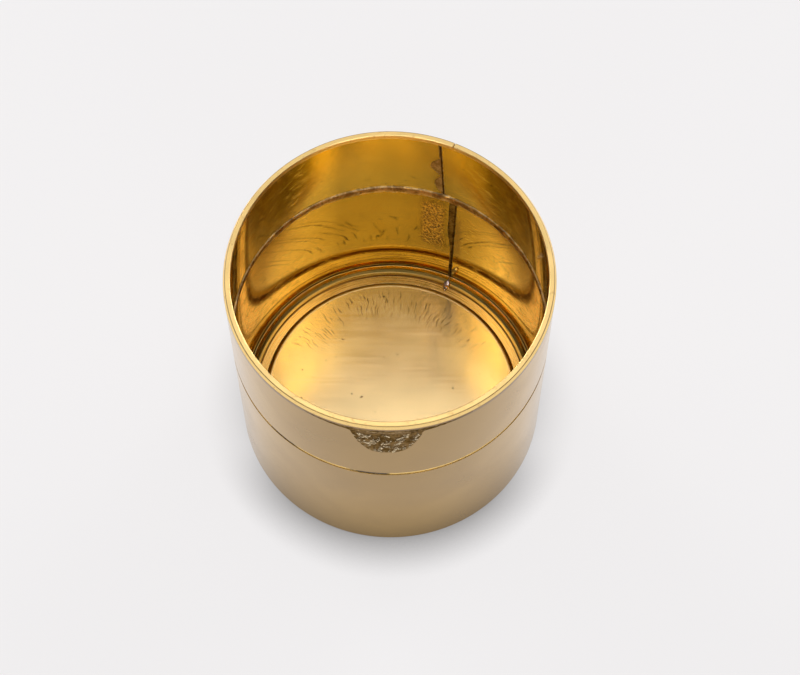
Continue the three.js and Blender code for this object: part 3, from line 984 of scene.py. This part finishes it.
def filed_rim_brass():
    material, tree, shader, place = new_material("filed rim brass")
    arris_at, bevel_from, outside_from, face_to = 0.03948, 0.0395, 0.0396, 0.0740
    wall = unrolled_wall(tree, place, inside_round)
    x, y, z = split(tree, place)
    _, radius = round_axis(tree, x, y)
    specks = noise(tree, place, 900, detail=4, roughness=0.6)
    worn = noise(tree, place, 160, detail=3)
    # The arris between the flat top and the bevel, and the lower part of the outer face, are
    # painted dark: painted shade.
    arris = product(tree, near(tree, radius, arris_at, 0.00006, 0.00014, smooth=False), 0.8)
    face = between(tree, z, face_to, face_to + 0.0001, 0.85, 0)
    outer = between(tree, radius, outside_from, outside_from + 0.0002)
    painted_edge_shade = maths(tree, "MAXIMUM", arris, product(tree, face, outer))
    shade = blend(tree, between(tree, specks, 0.58, 0.72, 0, 0.5),
                  (1.0, 0.71, 0.28), (0.55, 0.28, 0.09))
    shade = blend(tree, painted_edge_shade, shade, (0.26, 0.14, 0.04))
    bevel = between(tree, radius, bevel_from, bevel_from + 0.0002)
    rough = maths(tree, "MULTIPLY_ADD", bevel, -0.18, between(tree, worn, 0.3, 0.7, 0.30, 0.38))
    finished(tree, shader, shade, rough, noise(tree, wall, 700, (0.5, 1, 1), 3), 0.000002)
    return material


rim_brass = filed_rim_brass()
rim_outline = rounded([
    (rim_inner, upper_top, sheet_round),
    (wall_outer, upper_top, sheet_round),
    (wall_outer, rim_top - rim_bevel_drop, sheet_round),
    (wall_outer - rim_bevel, rim_top, groove_round),
    (rim_inner + rim_inner_bevel, rim_top, lip_round),
    (rim_inner, rim_top - rim_inner_bevel, lip_round),
])
rim_ring = shaped(
    profile("rim", rim_outline), bend_round,
    Steps=round_steps, Gap=rim_gap, Seam_at_foot=rim_seam, Seam_at_top=rim_seam,
    Foot=upper_top, Top=rim_top, Ends=True, Outside_finish=rim_brass,
    Inside_finish=rim_brass, Inside_radius=0.0,
)
stands_for(rim_ring, "rim_ring")


# The table: a pale matt board under the canister, wide enough to fill the view. It darkens in
# the corner round the foot.

table_reach = 2
table_tone = 0.89
plain_share = 0.85
corner_reach = 0.012
corner_front, corner_front_depth = -0.034, 1.45
corner_back, corner_back_depth = -0.012, 0.4


def pale_table():
    """A pale board that shows eye and brass a plain tone, and keeps its shadow in the corners."""
    material = bpy.data.materials.new("pale table")
    material.use_nodes = True
    tree = material.node_tree
    shader = tree.nodes["Principled BSDF"]
    shader.inputs["Base Color"].default_value = (0.80, 0.785, 0.79, 1)
    shader.inputs["Roughness"].default_value = 0.7
    corner = node(tree, "ShaderNodeAmbientOcclusion", {"Distance": corner_reach}, samples=8)
    _, y, _ = split(tree, tree.nodes.new("ShaderNodeTexCoord").outputs["Object"])
    depth = between(tree, y, corner_front, corner_back, corner_front_depth, corner_back_depth,
                    smooth=True)
    tone = product(tree, maths(tree, "POWER", corner.outputs["AO"], depth), table_tone)
    plain = node(tree, "ShaderNodeEmission", {"Color": (1, 0.985, 0.99, 1), "Strength": tone})
    ray = node(tree, "ShaderNodeLightPath").outputs
    mirrored = maths(tree, "MAXIMUM", ray["Is Glossy Ray"], ray["Is Transmission Ray"])
    seen = maths(tree, "MAXIMUM", ray["Is Camera Ray"], mirrored)
    mixed = node(tree, "ShaderNodeMixShader", {
        0: product(tree, seen, plain_share), 1: shader.outputs[0], 2: plain.outputs[0],
    })
    tree.links.new(mixed.outputs[0], tree.nodes["Material Output"].inputs["Surface"])
    return material


table_mesh = bpy.data.meshes.new("table")
table_corners = [(-1, -1), (1, -1), (1, 1), (-1, 1)]
table_mesh.from_pydata([(table_reach * x, table_reach * y, 0) for x, y in table_corners], [],
                       [(0, 1, 2, 3)])
table_mesh.materials.append(pale_table())
table = bpy.data.objects.new("table", table_mesh)
bpy.context.scene.collection.objects.link(table)


# The light: a dark room lit by soft round lamps. The brightest hangs over the middle, weaker ones
# ring it, two stand low at the back, and two stand at the sides of the front. Faint round panels
# with plain edges lay the bands of light across the floor and up the walls.

world = bpy.data.worlds.new("studio")
bpy.context.scene.world = world
world.use_nodes = True
world.cycles.sampling_method = "MANUAL"
world.cycles.sample_map_resolution = 512
room = world.node_tree
view = room.nodes.new("ShaderNodeTexCoord").outputs["Generated"]
room_glow = 0.01
back, front = 90, 270
narrow, broad = 9, 13
panel = 7


def facing(azimuth, elevation):
    """How squarely one looks in a direction given in degrees: 1 straight at it, 0 at its side."""
    turn, rise = math.radians(azimuth), math.radians(elevation)
    axis = (math.cos(rise) * math.cos(turn), math.cos(rise) * math.sin(turn), math.sin(rise))
    return node(room, "ShaderNodeVectorMath", {0: view, 1: axis},
                operation="DOT_PRODUCT").outputs["Value"]


def with_lamp(glow, azimuth, elevation, spread, strength):
    """Adds the glow of a soft round lamp that fades over a spread in degrees."""
    focus = 1 / (1 - math.cos(math.radians(spread)))
    towards = facing(azimuth, elevation)
    fall = maths(room, "EXPONENT", maths(room, "MULTIPLY_ADD", towards, focus, -focus))
    return maths(room, "MULTIPLY_ADD", fall, strength, glow)


def with_panel(glow, azimuth, elevation, half_width, strength):
    """Adds the glow of an even round panel with a plain edge."""
    disc = between(room, facing(azimuth, elevation), math.cos(math.radians(half_width + 1)),
                   math.cos(math.radians(half_width - 1)), smooth=True)
    return maths(room, "MULTIPLY_ADD", disc, strength, glow)


glow = with_lamp(room_glow, back, 88, narrow, 8.3)
glow = with_lamp(glow, back, 68, narrow, 0.33)
for side in (1, -1):
    glow = with_lamp(glow, back + 40 * side, 12, narrow, 24.5)
    glow = with_lamp(glow, back + 60 * side, 24, broad, 4.2)
    glow = with_lamp(glow, back + 20 * side, 48, broad, 0.88)
    glow = with_lamp(glow, back + 80 * side, 68, narrow, 0.29)
    glow = with_lamp(glow, back + 80 * side, 78, broad, 1.02)
    glow = with_lamp(glow, back + 100 * side, 78, narrow, 1.87)
    glow = with_lamp(glow, back + 160 * side, 78, narrow, 0.62)
    glow = with_lamp(glow, back + 160 * side, 24, narrow, 6.4)
    glow = with_panel(glow, front + 83 * side, 67, panel, 0.38)
    glow = with_panel(glow, front + 57 * side, 61, panel, 0.08)
glow = with_panel(glow, front, 64, 15, 0.06)
glow = with_lamp(glow, front + 40, 78, narrow, 0.52)
glow = with_lamp(glow, front + 60, 68, narrow, 0.45)
glow = with_lamp(glow, back + 80, 58, narrow, 0.68)
room.links.new(glow, room.nodes["Background"].inputs["Strength"])
room.nodes["Background"].inputs["Color"].default_value = (1, 0.985, 0.99, 1)
bpy.context.scene.view_settings.view_transform = "Standard"


# The camera: half a metre above the front of the table, looking down into the canister through
# a long lens.

camera_aside = 0.002467
camera_data = bpy.data.cameras.new("camera")
camera_data.sensor_width = 36
camera_data.lens = 92.56
camera = bpy.data.objects.new("camera", camera_data)
camera.location = (camera_aside, -0.22212, 0.51427)
aim = Vector((camera_aside, 0, 0.039086)) - camera.location
camera.rotation_euler = aim.to_track_quat("-Z", "Y").to_euler()
bpy.context.scene.collection.objects.link(camera)
bpy.context.scene.camera = camera
